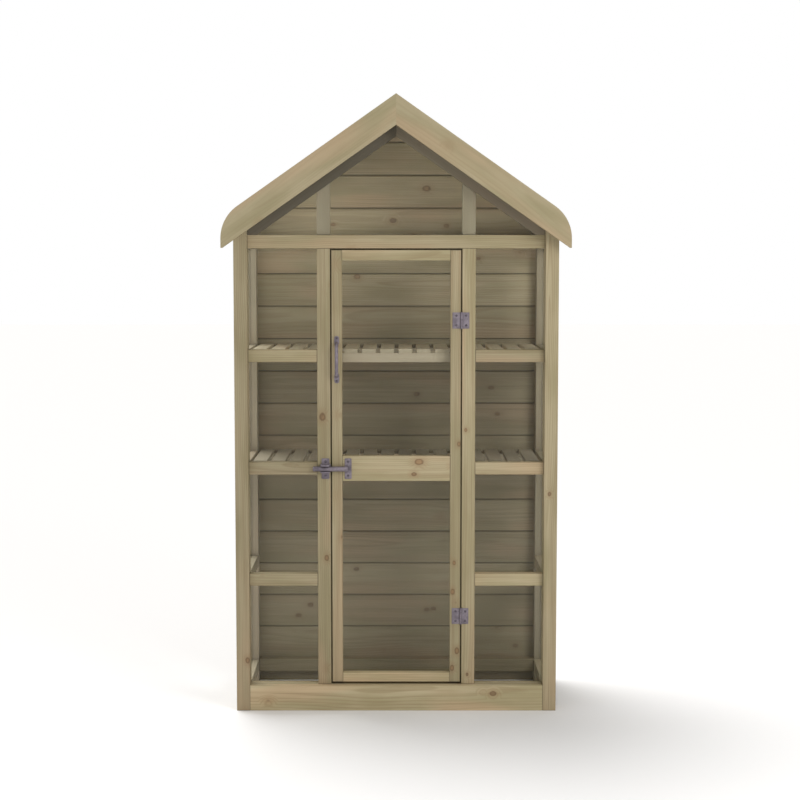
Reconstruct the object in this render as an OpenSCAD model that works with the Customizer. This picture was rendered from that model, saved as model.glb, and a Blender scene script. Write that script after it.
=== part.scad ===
// A narrow wooden greenhouse with a boarded back that stands against a wall.
// It has a glazed front with a hinged door, glazed sides, a glazed gable,
// two slatted shelves and a boarded, felted roof behind curved bargeboards.
// Millimetres. X runs to the right, Y to the back and Z up.
// The origin lies on the ground in the middle of the outer box.

/* [Frame] */
// Width over the corner posts
frame_w = 1000; // [960:10:1100]
// Depth from the face of the plinth to the back of the boards
frame_d = 400; // [370:10:500]
// Height of the plinth and of the sills behind it
sill_h = 80; // [74:2:110]
// Height of the top of the eaves rails
eaves_h = 1486; // [1440:2:1560]
// Width of every post, seen from the front
post_w = 41; // [38:1:46]
// Depth of the posts and rails of the front and back frames
stock_d = 41; // [40:1:46]
// Height of the eaves rails and of the sills
eaves_rail_h = 41; // [38:1:46]
// Height of the rails across the bays and the sides
rail_h = 38; // [34:1:45]
// Depth of the rails across the bays, in front of the panes
bay_rail_d = 30; // [27:1:32]
// Thickness of the plinth board, by which the front frame stands back
plinth_t = 20; // [16:1:24]
// Radius of the eased long edges of the timber
arris_r = 1.5; // [0.5:0.5:2.5]

/* [Door] */
// Width of the door
door_w = 400; // [380:5:430]
// Gap at each side of the door
door_gap = 4; // [3:0.5:6]
// Gap over the door
door_head_gap = 5; // [3:1:8]
// Gap under the door
door_sill_gap = 7; // [4:1:10]
// Thickness of the door
door_t = 34; // [30:1:36]
// Width of the door stiles
stile_w = 32; // [28:1:40]
// Height of the door's top rail
door_top_rail_h = 32; // [28:1:45]
// Height of the door's middle rail
door_mid_rail_h = 78; // [66:2:100]
// Height of the door's bottom rail
door_bottom_rail_h = 28; // [24:1:60]
// Width of the stop laths behind the door, that the door closes on
stop_w = 14; // [10:1:18]

/* [Glazing] */
// Thickness of the panes
pane_t = 3; // [2:0.5:4]
// Depth to which the panes reach into their grooves
pane_bite = 7; // [5:1:8]
// Width of the glazing beads, and of the rebate that they fill
bead_w = 8; // [6:1:10]
// Thickness of the glazing beads
bead_t = 6; // [5:0.5:8]

/* [Shelves] */
// Width of a shelf slat
slat_w = 43; // [35:1:50]
// Thickness of a shelf slat
slat_t = 12; // [9:1:16]
// Gap between two slats
slat_gap = 14; // [8:1:20]
// Height and depth of the shelf bearers
bearer = 29; // [24:1:36]

/* [Back boards] */
// Height that one back board covers
board_cover = 107.3; // [90:0.1:125]
// Height of the lowest board, which is cut down
lowest_board_h = 77; // [50:1:90]
// Thickness of the back boards
board_t = 14; // [12:1:18]
// Thickness of the tongue
tongue_t = 4; // [3:0.5:5]
// Height of the tongue
tongue_h = 6; // [5:0.5:8]
// Width of the chamfer along the top edges of a board
board_chamfer = 3; // [1:0.5:4]
// Open joint that shows between two back boards, in front of the tongue
board_gap = 1.8; // [0.6:0.1:2.4]

/* [Roof] */
// Slope of the roof in degrees
roof_pitch = 35; // [32:1:38]
// Height of the roof boards over the eaves rail, at the outer faces of the posts
roof_lift = 57; // [50:1:70]
// Thickness of the roof boards
roof_board_t = 12; // [9:1:16]
// Number of roof boards on one slope
roof_board_n = 6; // [5:1:8]
// Gap between two roof boards
roof_board_gap = 0.6; // [0.3:0.1:0.9]
// Thickness of the roofing felt
felt_t = 2; // [1:0.5:3]
// Width of the sloped rails of the front gable, which the bargeboards hide from in front
gable_rail_w = 58; // [50:1:64]
// Width of the sloped rails of the back gable, which show under the bargeboards
back_gable_rail_w = 62; // [54:1:70]
// Width of the bargeboards
bargeboard_w = 76.5; // [70:0.5:82]
// Thickness of the bargeboards
bargeboard_t = 20; // [16:1:24]
// Distance from the face of the plinth to the faces of the bargeboards
verge = 50; // [45:1:60]
// Reach of the bargeboard tips beyond the corner posts
tip_out = 33.5; // [28:0.5:45]
// Radius of the curved bargeboard ends
tip_r = 120; // [100:5:130]
// Reach of the roof boards beyond the corner posts
eave_out = 6; // [2:1:10]
// Width of the battens that the bargeboards are fixed to
batten_w = 30; // [24:1:36]

/* [Hinges] */
// Height of a hinge
hinge_h = 50; // [44:2:64]
// Width of the leaf on the door, from the pin
door_leaf_w = 28; // [22:1:32]
// Width of the leaf on the frame, from the pin
frame_leaf_w = 24; // [20:1:34]
// Thickness of the leaves
leaf_t = 2; // [1.5:0.5:2.5]
// Diameter of the knuckles
knuckle_d = 8; // [7:0.5:9]
// Diameter of the hinge pins
hinge_pin_d = 4; // [3:0.5:4.5]
// Distance from the top of the door to the middle of the upper hinge
hinge_from_top = 217; // [120:1:300]
// Distance from the foot of the door to the middle of the lower hinge
hinge_from_foot = 210; // [120:1:300]

/* [Handle] */
// Length of the pull handle over its feet
handle_l = 147; // [120:1:200]
// Height of the middle of the handle over the middle of the door's middle rail
handle_up = 339.5; // [240:0.5:440]
// Diameter of the handle's grip
handle_d = 11; // [9:0.5:12]
// Distance from the door to the middle of the grip
handle_reach = 28; // [24:1:40]

/* [Latch] */
// Width of the latch plate on the post
latch_plate_w = 24; // [20:1:26]
// Width of the latch's jaws, between which the bar lies
latch_w = 30; // [28:1:32]
// Height of the latch plates
latch_h = 64; // [60:1:70]
// Thickness of the latch plates
latch_t = 3; // [2:0.5:3.5]
// Diameter of the latch bar
bar_d = 16; // [14:0.5:17]
// Reach of the bar beyond the latch's jaws
bar_tail = 24; // [15:1:35]
// Width of the plate that holds the bar on the door
keeper_w = 21; // [18:1:26]

/* [Screws] */
// Diameter of the screws
screw_d = 3.8; // [3:0.1:4]
// Diameter of the screw heads
screw_head_d = 7.2; // [6.5:0.1:8]
// Length of the screws in the wood
screw_l = 16; // [10:1:20]

/* [Hidden] */

// Colours of the materials
pine = "#A89B7C";
board_pine = "#8C8068";
clear = [0.80, 0.86, 0.86, 0.35];
zinc = "#8A8794";
felt_green = "#4E564A";

// Smoothness of the true circles
$fn = 48;
// Gap round a pane in its groove, and behind a closed door
fit = 0.3;
// Play of a pin in its bore, measured on the radius
pin_play = 0.05;
// Gap between the roof boards and the sloped timber that carries them
seat_gap = 0.05;
// Play between parts that turn side by side
side_play = 0.25;
// Play of the latch bar in its slot
bar_play = 0.5;
// How far a cutting shape reaches past the face that it cuts
past = 1;

LEFT = -1;
RIGHT = 1;

// Planes across the depth, from the front to the back
y_face = -(frame_d - verge) / 2;
y_frame = y_face + plinth_t;
y_inside = y_frame + stock_d;
y_wall = y_face + frame_d;
y_boards = y_wall - board_t;
y_back_frame = y_boards - stock_d;
y_bargeboard = y_face - verge;
y_roof = y_bargeboard + bargeboard_t;
y_pane = y_frame + bay_rail_d + fit;
y_gable_pane = y_frame + 6;
y_shelf = y_inside + 2;

// Places across the width, measured from the middle
x_side = frame_w / 2;
x_bay = x_side - post_w;
x_door = door_w / 2;
x_inner = x_door + door_gap;
x_inner_out = x_inner + post_w;
x_light = x_door - stile_w;
x_side_pane = x_side - post_w / 2 - pane_t / 2;
x_tip = x_side + tip_out;
x_eave = x_side + eave_out;

// Heights of the frame, and of the three rails between sill and eaves rail
head_z = eaves_h - eaves_rail_h;
sill_bottom = sill_h - eaves_rail_h;
light_h = (head_z - sill_h - 3 * rail_h) / 4;
function rail_top(level) = sill_h + level * (light_h + rail_h);
LOWER = 1;
MIDDLE = 2;
UPPER = 3;

// Heights of the door
door_z0 = sill_h + door_sill_gap;
door_z1 = head_z - door_head_gap;
mid_z = rail_top(MIDDLE) - rail_h / 2;
mid_z0 = mid_z - door_mid_rail_h / 2;
mid_z1 = mid_z + door_mid_rail_h / 2;
lower_light = [door_z0 + door_bottom_rail_h, mid_z0];
upper_light = [mid_z1, door_z1 - door_top_rail_h];
y_door_back = y_frame + door_t;
y_rebate = y_door_back - pane_t - bead_t;
y_stop = y_door_back + fit;

// Heights of the roof: its underside, its top and the lower edges under it
slope = tan(roof_pitch);
function upright_h(w) = w / cos(roof_pitch);
function roof_z(x) = eaves_h + roof_lift + slope * (x_side - x);
function seat_z(x) = roof_z(x) - seat_gap;
roof_t = roof_board_t + felt_t;
top_z = roof_z(0) + upright_h(roof_t);
gable_z = roof_z(0) - upright_h(gable_rail_w);
function gable_low(x) = gable_z - slope * x;
board_low = top_z - upright_h(bargeboard_w);
tip_z = head_z + 1;
// Middle of the curved bargeboard end, a radius away from the slope and the end
tip_x = x_tip - tip_r;
tip_mid_z = top_z - slope * tip_x - upright_h(tip_r);

// Hinges
hinge_x = x_door + door_gap / 2;
hinge_y = y_frame - knuckle_d / 2;
hinge_zs = [door_z0 + hinge_from_foot, door_z1 - hinge_from_top];
knuckle_n = 5;
knuckle_h = hinge_h / knuckle_n;
leaf_start = knuckle_d / 2 + fit;
hinge_screw_zs = [-hinge_h * 0.3, hinge_h * 0.3];
frame_screw_x = hinge_x + (leaf_start + frame_leaf_w) / 2;
door_screw_x = hinge_x - (leaf_start + door_leaf_w) / 2;

// Latch: the plate stands on the left inner post, the bar crosses it from the door
latch_inset = 1;
latch_x = -(x_inner + latch_inset + latch_w / 2);
cheek_t = 2.5;
jaw_t = 4;
bar_y = y_frame - latch_t - bar_play - bar_d / 2;
bar_x0 = latch_x - latch_w / 2 - bar_tail;
keeper_inset = 8;
keeper_x = -(x_light - keeper_inset - keeper_w / 2);
catch_pin_d = 3.5;
catch_boss_d = 7;
catch_y = y_frame - latch_t - catch_boss_d / 2 - bar_play;
catch_z = (bar_d + catch_boss_d) / 2;
catch_w = latch_w - 2 * cheek_t - 2 * side_play;
catch_t = 3;
catch_l = bar_d + 4;
catch_low = catch_z - bar_d / 2 - 1;
ear_r = norm([bar_y - catch_y, catch_z]) - bar_d / 2 - bar_play;
slot = bar_d / 2 + bar_play;
latch_screw_inset = 10;
latch_screw_zs = [latch_screw_inset - latch_h / 2, latch_h / 2 - latch_screw_inset];

// Handle
handle_x = -(x_door - stile_w / 2);
handle_foot_w = 15;
handle_foot_h = 30;
handle_foot_t = 2;
handle_bend = 14;
handle_post_z = handle_l / 2 - handle_foot_h + handle_d / 2 + 1;
handle_screw_inset = 7;
handle_screw_z = handle_l / 2 - handle_screw_inset;
handle_z = mid_z + handle_up;

// Screws, each as [x, height, y of the face under its head, length under the head]
hinge_frame_screws = [for (h = hinge_zs, z = hinge_screw_zs) [frame_screw_x, h + z, leaf_t]];
hinge_leaf_screws = [for (h = hinge_zs, z = hinge_screw_zs) [door_screw_x, h + z, leaf_t]];
latch_screws = [for (z = latch_screw_zs) [latch_x, mid_z + z, latch_t]];
keeper_screws = [for (z = latch_screw_zs) [keeper_x, mid_z + z, latch_t]];
handle_screws = [for (s = [-1, 1]) [handle_x, handle_z + s * handle_screw_z, handle_foot_t]];

// Shelf slats: the same number on each side of the middle gap
slat_pitch = slat_w + slat_gap;
slats_half = floor((x_bay - fit + slat_gap / 2) / slat_pitch);

// Back boards, counted from the lowest to the one under the ridge
board_n = ceil((roof_z(0) - lowest_board_h) / board_cover) + 1;

// A straight block that fills the given ranges
module block(x, y, z) {
    translate([x[0], y[0], z[0]]) cube([x[1] - x[0], y[1] - y[0], z[1] - z[0]]);
}

// Section of a planed stick with eased corners
module planed(w, d) {
    translate([arris_r, 0]) square([w - 2 * arris_r, d]);
    translate([0, arris_r]) square([w, d - 2 * arris_r]);
    for (x = [arris_r, w - arris_r], y = [arris_r, d - arris_r])
        translate([x, y]) circle(r = arris_r);
}

// Planed sticks that fill the given ranges and run along one axis
module stick_x(x, y, z) {
    translate([x[0], y[0], z[0]]) rotate([90, 0, 90])
        linear_extrude(x[1] - x[0]) planed(y[1] - y[0], z[1] - z[0]);
}

module stick_y(x, y, z) {
    translate([x[0], y[1], z[0]]) rotate([90, 0, 0])
        linear_extrude(y[1] - y[0]) planed(x[1] - x[0], z[1] - z[0]);
}

module stick_z(x, y, z) {
    translate([x[0], y[0], z[0]])
        linear_extrude(z[1] - z[0]) planed(x[1] - x[0], y[1] - y[0]);
}

// A shape drawn in X and Z that stands between two planes of the depth
module upright(y) {
    translate([0, y[1], 0]) rotate([90, 0, 0]) linear_extrude(y[1] - y[0]) children();
}

// A shape drawn in Y and Z that runs along X
module along_x(x) {
    translate([x[0], 0, 0]) rotate([90, 0, 90]) linear_extrude(x[1] - x[0]) children();
}

// Mirrors what is drawn for the right side when the left side is wanted
module on_side(side) {
    if (side == LEFT) mirror([1, 0, 0]) children();
    else children();
}

// The space under the roof boards, between two planes of the depth
module under_roof(y) {
    upright(y) polygon([
        [-x_eave, 0], [x_eave, 0], [x_eave, seat_z(x_eave)],
        [0, seat_z(0)], [-x_eave, seat_z(x_eave)]
    ]);
}

// A hole or slot for a pane, wider than the pane by its gap on both faces
function groove(y) = [y - fit, y + pane_t + fit];

// Pilot holes in the wood, one for each screw of a list
module pilots(screws) {
    for (s = screws) translate([s[0], y_frame - past, s[1]]) rotate([-90, 0, 0])
        cylinder(d = screw_d + 2 * pin_play, h = screw_l + past + fit);
}

// Through holes in a plate in front of the wood
module plate_holes(screws) {
    for (s = screws) translate([s[0], y_frame + past, s[1]]) rotate([90, 0, 0])
        cylinder(d = screw_d + 2 * fit, h = s[2] + 2 * past);
}

// Round-headed screws, with their heads on the plate and their shanks in the wood
module screws(list) {
    head_h = screw_head_d * 0.26;
    dome_r = (pow(screw_head_d / 2, 2) + pow(head_h, 2)) / (2 * head_h);
    for (s = list) translate([s[0], y_frame - s[2], s[1]]) rotate([90, 0, 0]) {
        intersection() {
            translate([0, 0, head_h - dome_r]) sphere(r = dome_r);
            cylinder(d = screw_head_d + past, h = head_h + past);
        }
        translate([0, 0, -s[2] - screw_l]) cylinder(d = screw_d, h = s[2] + screw_l);
    }
}

// A corner post at the front, cut to the slope, with grooves for both panes
module front_post(side) {
    on_side(side) difference() {
        intersection() {
            stick_z([x_bay, x_side], [y_face, y_inside], [0, roof_z(x_bay)]);
            under_roof([y_face - past, y_inside + past]);
        }
        block([x_bay - past, x_bay + pane_bite + fit], groove(y_pane),
              [sill_h - pane_bite, head_z + pane_bite + fit]);
        block(groove(x_side_pane), [y_inside - pane_bite - fit, y_inside + past],
              [sill_h - pane_bite, head_z + pane_bite + fit]);
    }
}

module front_post_left() { color(pine) front_post(LEFT); }
module front_post_right() { color(pine) front_post(RIGHT); }

// A corner post at the back, cut to the slope, with a groove for the side panes
module rear_post(side) {
    on_side(side) difference() {
        intersection() {
            stick_z([x_bay, x_side], [y_back_frame, y_boards], [0, roof_z(x_bay)]);
            under_roof([y_back_frame - past, y_boards + past]);
        }
        block(groove(x_side_pane), [y_back_frame - past, y_back_frame + pane_bite + fit],
              [sill_h - pane_bite, head_z + pane_bite + fit]);
    }
}

module rear_post_left() { color(pine) rear_post(LEFT); }
module rear_post_right() { color(pine) rear_post(RIGHT); }

// A post beside the door, with a groove for the bay pane
module inner_post(side) {
    on_side(side) difference() {
        stick_z([x_inner, x_inner_out], [y_frame, y_inside], [sill_h, head_z]);
        block([x_inner_out - pane_bite - fit, x_inner_out + past], groove(y_pane),
              [sill_h - past, head_z + past]);
    }
}

module inner_post_left() {
    color(pine) difference() {
        inner_post(LEFT);
        pilots(latch_screws);
    }
}

module inner_post_right() {
    color(pine) difference() {
        inner_post(RIGHT);
        pilots(hinge_frame_screws);
    }
}

module plinth_board() {
    color(pine) stick_x([-x_bay, x_bay], [y_face, y_frame], [0, sill_h]);
}

// The two long grooves beside the door, in the sill or in the eaves rail
module bay_grooves(z) {
    for (side = [LEFT, RIGHT]) on_side(side)
        block([x_inner_out - pane_bite - fit, x_bay + past], groove(y_pane), z);
}

module front_sill() {
    color(pine) difference() {
        stick_x([-x_bay, x_bay], [y_frame, y_inside], [sill_bottom, sill_h]);
        bay_grooves([sill_h - pane_bite, sill_h + past]);
    }
}

module front_eaves_rail() {
    color(pine) difference() {
        stick_x([-x_bay, x_bay], [y_frame, y_inside], [head_z, eaves_h]);
        bay_grooves([head_z - past, head_z + pane_bite + fit]);
        gable_sheet(fit, x_bay + past);
    }
}

// A short rail across a bay, in front of its pane
module bay_rail(side, level) {
    on_side(side) stick_x([x_inner_out, x_bay], [y_frame, y_frame + bay_rail_d],
                          [rail_top(level) - rail_h, rail_top(level)]);
}

module bay_rail_left_upper() { color(pine) bay_rail(LEFT, UPPER); }
module bay_rail_left_middle() { color(pine) bay_rail(LEFT, MIDDLE); }
module bay_rail_left_lower() { color(pine) bay_rail(LEFT, LOWER); }
module bay_rail_right_upper() { color(pine) bay_rail(RIGHT, UPPER); }
module bay_rail_right_middle() { color(pine) bay_rail(RIGHT, MIDDLE); }
module bay_rail_right_lower() { color(pine) bay_rail(RIGHT, LOWER); }

// The gable pane out to the given end, or the space for it when it is grown by a gap
module gable_sheet(grow, x_end) {
    seat_z = eaves_h - pane_bite;
    edge_z = gable_z + upright_h(pane_bite + grow);
    end_z = edge_z - slope * x_end;
    upright([y_gable_pane - grow, y_gable_pane + pane_t + grow]) polygon([
        [-x_end, seat_z], [x_end, seat_z], [x_end, end_z], [0, edge_z], [-x_end, end_z]
    ]);
}

module gable_pane() { color(clear) gable_sheet(0, x_bay - fit); }

// A sloped rail from the ridge down to the corner post, under the roof boards.
// A wide one is cut level where it meets the eaves rail.
module gable_rail(side, w, y) {
    low_z = roof_z(0) - upright_h(w);
    x_cut = (low_z - eaves_h) / slope;
    foot = x_cut < x_bay ? [[x_bay, eaves_h], [x_cut, eaves_h]] : [[x_bay, low_z - slope * x_bay]];
    on_side(side) upright(y)
        polygon(concat([[0, low_z], [0, seat_z(0)], [x_bay, seat_z(x_bay)]], foot));
}

module front_gable_rail(side) {
    difference() {
        gable_rail(side, gable_rail_w, [y_frame, y_inside]);
        gable_sheet(fit, x_bay + past);
    }
}

module gable_rail_left() { color(pine) front_gable_rail(LEFT); }
module gable_rail_right() { color(pine) front_gable_rail(RIGHT); }

// A short post over the door's post, behind the gable pane
module gable_mullion(side) {
    on_side(side) upright([y_gable_pane + pane_t + fit, y_inside]) polygon([
        [x_inner, eaves_h], [x_inner_out, eaves_h],
        [x_inner_out, gable_low(x_inner_out)], [x_inner, gable_low(x_inner)]
    ]);
}

module gable_mullion_left() { color(pine) gable_mullion(LEFT); }
module gable_mullion_right() { color(pine) gable_mullion(RIGHT); }

module rear_gable_rail_left() {
    color(pine) gable_rail(LEFT, back_gable_rail_w, [y_back_frame, y_boards]);
}

module rear_gable_rail_right() {
    color(pine) gable_rail(RIGHT, back_gable_rail_w, [y_back_frame, y_boards]);
}

module rear_eaves_rail() {
    color(pine) stick_x([-x_bay, x_bay], [y_back_frame, y_boards], [head_z, eaves_h]);
}

module rear_sill() {
    color(pine) stick_x([-x_bay, x_bay], [y_back_frame, y_boards], [sill_bottom, sill_h]);
}

// The rails between a front and a rear post: sill, three rails and eaves plate
module side_rails(side) {
    x = [x_bay, x_side];
    y = [y_inside, y_back_frame];
    on_side(side) {
        difference() {
            stick_y(x, y, [sill_bottom, sill_h]);
            side_groove([sill_h - pane_bite, sill_h + past]);
        }
        for (level = [LOWER, MIDDLE, UPPER]) difference() {
            stick_y(x, y, [rail_top(level) - rail_h, rail_top(level)]);
            side_groove([rail_top(level) - pane_bite, rail_top(level) + past]);
            side_groove([rail_top(level) - rail_h - past,
                         rail_top(level) - rail_h + pane_bite + fit]);
        }
        difference() {
            upright(y) polygon([
                [x_bay, head_z], [x_side, head_z], [x_side, seat_z(x_side)], [x_bay, seat_z(x_bay)]
            ]);
            side_groove([head_z - past, head_z + pane_bite + fit]);
        }
    }
}

module side_groove(z) {
    block(groove(x_side_pane), [y_inside - past, y_back_frame + past], z);
}

module side_rails_left() { color(pine) side_rails(LEFT); }
module side_rails_right() { color(pine) side_rails(RIGHT); }

// Section of a tongued board, drawn from its foot, with its face at y = 0
module board_section(h) {
    y_mid = board_t / 2;
    c = board_chamfer;
    difference() {
        union() {
            polygon([
                [0, 0], [board_t, 0], [board_t, h - c], [board_t - c, h], [c, h], [0, h - c]
            ]);
            translate([y_mid - tongue_t / 2, h - c]) square([tongue_t, c + tongue_h]);
        }
        translate([y_mid - tongue_t / 2 - fit, -past])
            square([tongue_t + 2 * fit, past + tongue_h + fit]);
    }
}

module back_boards() {
    color(board_pine) for (i = [0 : board_n - 1]) intersection() {
        z = lowest_board_h + (i - 1) * board_cover;
        translate([0, y_boards, z]) along_x([-x_side, x_side])
            board_section(board_cover - board_gap);
        under_roof([y_boards - past, y_wall + past]);
    }
}

// Slats that run from the front to the back, the same on both sides of the middle
module slats(level) {
    for (side = [LEFT, RIGHT], i = [0 : slats_half - 1]) on_side(side) {
        x = slat_gap / 2 + i * slat_pitch;
        stick_y([x, x + slat_w], [y_shelf, y_boards - fit],
                [rail_top(level) - slat_t, rail_top(level)]);
    }
}

module upper_shelf_slats() { color(pine) slats(UPPER); }
module lower_shelf_slats() { color(pine) slats(MIDDLE); }

// A front and a rear bearer, between the sides
module bearers(level) {
    z1 = rail_top(level) - slat_t;
    stick_x([-x_bay, x_bay], [y_shelf, y_shelf + bearer], [z1 - bearer, z1]);
    stick_x([-x_bay, x_bay], [y_boards - bearer, y_boards], [z1 - bearer, z1]);
}

module upper_shelf_bearers() { color(pine) bearers(UPPER); }
module lower_shelf_bearers() { color(pine) bearers(MIDDLE); }

// The roof's outline: both slopes, with a curve down to each end.
// The inset is measured inwards from the top of the felt.
module roof_outline(inset) {
    r = tip_r - inset;
    x_end = x_tip - inset;
    apex = top_z - upright_h(inset);
    end_z = apex - slope * x_end;
    difference() {
        polygon([[-x_end, 0], [-x_end, end_z], [0, apex], [x_end, end_z], [x_end, 0]]);
        for (side = [0, 1]) mirror([side, 0]) translate([tip_x, tip_mid_z]) difference() {
            polygon([
                [0, 0], [(r + past) * sin(roof_pitch), (r + past) * cos(roof_pitch)],
                [r + past, end_z - tip_mid_z + 2 * past], [r + past, 0]
            ]);
            circle(r = r);
        }
    }
}

// Roof boards that run from the front to the back and share the slope evenly.
// The first is mitred at the ridge, and the last is rounded off at the eaves.
module roof_boards(side) {
    board_w = upright_h(x_eave) / roof_board_n;
    on_side(side) for (i = [0 : roof_board_n - 1]) upright([y_roof, y_wall]) intersection() {
        roof_outline(felt_t);
        polygon([
            [0, roof_z(0)], [0, top_z], [x_eave, top_z], [x_eave, roof_z(x_eave)]
        ]);
        translate([0, roof_z(0)]) rotate(-roof_pitch)
            translate([i * board_w - (i == 0 ? board_w : 0), -roof_t])
                square([(i == 0 ? 2 : 1) * board_w - roof_board_gap, 3 * roof_t]);
    }
}

module roof_boards_left() { color(board_pine) roof_boards(LEFT); }
module roof_boards_right() { color(board_pine) roof_boards(RIGHT); }

// Felt over both slopes, turned down over the edges of the eaves boards
module roof_felt() {
    x_out = x_eave + felt_t;
    color(felt_green) upright([y_roof, y_wall]) difference() {
        intersection() {
            roof_outline(0);
            translate([-x_out, roof_z(x_eave)]) square([2 * x_out, top_z]);
        }
        intersection() {
            roof_outline(felt_t);
            translate([-x_eave, 0]) square([2 * x_eave, top_z]);
        }
    }
}

// A bargeboard with a curved end, mitred at the ridge
module bargeboard(side) {
    on_side(side) upright([y_bargeboard, y_roof]) intersection() {
        roof_outline(0);
        polygon([
            [0, board_low], [0, top_z], [x_tip, top_z], [x_tip, tip_z],
            [(board_low - tip_z) / slope, tip_z]
        ]);
    }
}

module bargeboard_left() { color(pine) bargeboard(LEFT); }
module bargeboard_right() { color(pine) bargeboard(RIGHT); }

// Battens under the roof boards, between the bargeboards and the gable rails
module verge_battens() {
    drop = upright_h(batten_w);
    x0 = fit / 2;
    color(pine) for (side = [LEFT, RIGHT]) on_side(side) upright([y_roof, y_frame]) polygon([
        [x0, seat_z(x0) - drop], [x0, seat_z(x0)],
        [x_bay, seat_z(x_bay)], [x_bay, seat_z(x_bay) - drop]
    ]);
}

// A tall pane behind the three rails of a bay
module bay_pane(side) {
    on_side(side) block([x_inner_out - pane_bite, x_bay + pane_bite], [y_pane, y_pane + pane_t],
                        [sill_h - pane_bite, head_z + pane_bite]);
}

module bay_pane_left() { color(clear) bay_pane(LEFT); }
module bay_pane_right() { color(clear) bay_pane(RIGHT); }

// Four panes, one in each light of a side
module side_panes(side) {
    on_side(side) for (level = [0, LOWER, MIDDLE, UPPER])
        block([x_side_pane, x_side_pane + pane_t],
              [y_inside - pane_bite, y_back_frame + pane_bite],
              [rail_top(level) - pane_bite, rail_top(level) + light_h + pane_bite]);
}

module side_panes_left() { color(clear) side_panes(LEFT); }
module side_panes_right() { color(clear) side_panes(RIGHT); }

// Laths on the posts and under the eaves rail, that the closed door meets
module door_stops() {
    x_stop = x_inner - stop_w;
    color(pine) {
        for (side = [LEFT, RIGHT]) on_side(side)
            block([x_stop, x_inner], [y_stop, y_inside], [sill_h, head_z]);
        block([-x_stop + fit, x_stop - fit], [y_stop, y_inside], [head_z - stop_w, head_z]);
    }
}

// The rebates for the panes, cut into the back of the door's frame
module door_rebates() {
    for (light = [lower_light, upper_light])
        block([-x_light - bead_w, x_light + bead_w], [y_rebate, y_door_back + past],
              [light[0] - bead_w, light[1] + bead_w]);
}

module door_stile(side) {
    difference() {
        on_side(side) stick_z([x_light, x_door], [y_frame, y_door_back], [door_z0, door_z1]);
        door_rebates();
        pilots(concat(hinge_leaf_screws, handle_screws));
    }
}

module door_stile_left() { color(pine) door_stile(LEFT); }
module door_stile_right() { color(pine) door_stile(RIGHT); }

module door_rail(z) {
    difference() {
        stick_x([-x_light, x_light], [y_frame, y_door_back], z);
        door_rebates();
        pilots(keeper_screws);
    }
}

module door_top_rail() { color(pine) door_rail([upper_light[1], door_z1]); }
module door_middle_rail() { color(pine) door_rail([mid_z0, mid_z1]); }
module door_bottom_rail() { color(pine) door_rail([door_z0, lower_light[0]]); }

// A pane that stands on the foot of its rebate
module door_pane(light) {
    x = x_light + bead_w - fit;
    block([-x, x], [y_rebate, y_rebate + pane_t], [light[0] - bead_w, light[1] + bead_w - fit]);
}

module door_pane_upper() { color(clear) door_pane(upper_light); }
module door_pane_lower() { color(clear) door_pane(lower_light); }

// Four beads behind each pane
module door_beads() {
    y = [y_rebate + pane_t, y_door_back];
    x = [fit - x_light, x_light - fit];
    color(pine) for (light = [lower_light, upper_light]) {
        for (side = [LEFT, RIGHT]) on_side(side)
            block([x_light, x_light + bead_w], y, [light[0] - bead_w, light[1] + bead_w]);
        block(x, y, [light[0] - bead_w, light[0]]);
        block(x, y, [light[1], light[1] + bead_w]);
    }
}

// One hinge leaf, to the right of the pin, with every second knuckle
module hinge_leaf(w, first) {
    difference() {
        union() {
            block([leaf_start, w], [knuckle_d / 2 - leaf_t, knuckle_d / 2], [0, hinge_h]);
            for (i = [first : 2 : knuckle_n - 1]) {
                low = i * knuckle_h + (i == 0 ? 0 : side_play / 2);
                high = (i + 1) * knuckle_h - (i == knuckle_n - 1 ? 0 : side_play / 2);
                block([0, leaf_start + past], [knuckle_d / 2 - leaf_t, knuckle_d / 2], [low, high]);
                translate([0, 0, low]) cylinder(d = knuckle_d, h = high - low);
            }
        }
        translate([0, 0, -past]) cylinder(d = hinge_pin_d + 2 * pin_play, h = hinge_h + 2 * past);
    }
}

module hinge_frame_leaves() {
    color(zinc) difference() {
        for (z = hinge_zs) translate([hinge_x, hinge_y, z - hinge_h / 2])
            hinge_leaf(frame_leaf_w, 0);
        plate_holes(hinge_frame_screws);
    }
}

module hinge_door_leaves() {
    color(zinc) difference() {
        for (z = hinge_zs) translate([hinge_x, hinge_y, z - hinge_h / 2]) mirror([1, 0, 0])
            hinge_leaf(door_leaf_w, 1);
        plate_holes(hinge_leaf_screws);
    }
}

// Pins with a flat head at each end of the knuckles
module hinge_pins() {
    head_d = hinge_pin_d + 2;
    head_h = 1;
    color(zinc) for (z = hinge_zs) translate([hinge_x, hinge_y, z - hinge_h / 2]) {
        cylinder(d = hinge_pin_d, h = hinge_h);
        translate([0, 0, -head_h]) cylinder(d = head_d, h = head_h);
        translate([0, 0, hinge_h]) cylinder(d = head_d, h = head_h);
    }
}

// A flat plate with rounded corners, standing on the wood
module latch_plate(x, w) {
    r = 3;
    translate([x, 0, mid_z]) upright([y_frame - latch_t, y_frame]) {
        square([w, latch_h - 2 * r], center = true);
        square([w - 2 * r, latch_h], center = true);
        for (i = [-1, 1], j = [-1, 1])
            translate([i * (w / 2 - r), j * (latch_h / 2 - r)]) circle(r = r);
    }
}

// An ear over the slot, that holds the catch's pin
module latch_ear() {
    translate([catch_y, mid_z + catch_z]) circle(r = ear_r);
    translate([catch_y, mid_z + slot])
        square([y_frame - latch_t - catch_y + past, catch_z + ear_r - slot]);
}

// The jaw under the bar, with a round front edge
module latch_jaw() {
    front = bar_y - bar_d / 4;
    translate([front, mid_z - slot - jaw_t]) square([y_frame - front, jaw_t]);
    translate([front, mid_z - slot - jaw_t / 2]) circle(d = jaw_t);
}

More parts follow.
